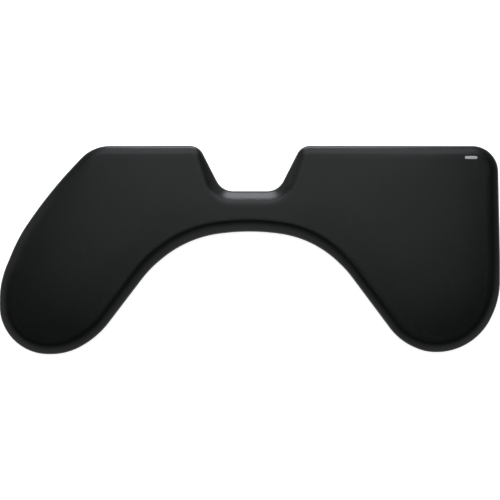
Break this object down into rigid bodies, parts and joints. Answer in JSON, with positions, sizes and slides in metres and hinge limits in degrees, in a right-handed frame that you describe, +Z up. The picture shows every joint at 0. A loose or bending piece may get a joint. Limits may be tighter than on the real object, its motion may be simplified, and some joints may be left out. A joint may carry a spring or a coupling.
{
  "type": "desk forearm-support pad",
  "caption": "Flat padded desk pad in black leatherette that supports both forearms, with a notch for a pointing device in its back edge and a curved bay for the body in front.",
  "frame": {"origin": "middle of the pad's box, on the surface that its grip pads stand on", "axes": "+X to the user's right, +Y away from the user towards the notched edge, +Z up"},
  "size_m": [0.72, 0.3, 0.022],
  "materials": {
    "leatherette": "satin black polyurethane leatherette with a fine grain",
    "transfer_film": "matte pale grey heat-transfer film",
    "soft_foam": "open-cell polyurethane foam, cream",
    "firm_foam": "closed-cell foam, dark grey",
    "board": "sanded fibreboard",
    "plate_steel": "cold-rolled, zinc plated",
    "rivet_aluminium": "plain",
    "zinc_steel": "bright zinc plated",
    "staple_wire": "galvanised wire",
    "liner_sheet": "matte foamed rubber sheet with a fine pebble",
    "grip_rubber": "matte moulded rubber"
  },
  "bodies": {
    "root": {"cover": "leatherette", "corner_mark": "transfer_film", "comfort_foam": "soft_foam", "support_foam": "firm_foam", "core_board": "board", "neck_plate": "plate_steel", "neck_rivets": "rivet_aluminium", "tee_nuts": "zinc_steel", "staples": "staple_wire", "underside_liner": "liner_sheet", "grip_pad_left_back": "grip_rubber", "grip_pad_left_outer": "grip_rubber", "grip_pad_left_tip": "grip_rubber", "grip_pad_left_inner": "grip_rubber", "grip_pad_right_back": "grip_rubber", "grip_pad_right_outer": "grip_rubber", "grip_pad_right_tip": "grip_rubber", "grip_pad_right_inner": "grip_rubber"}
  },
  "joints": []
}
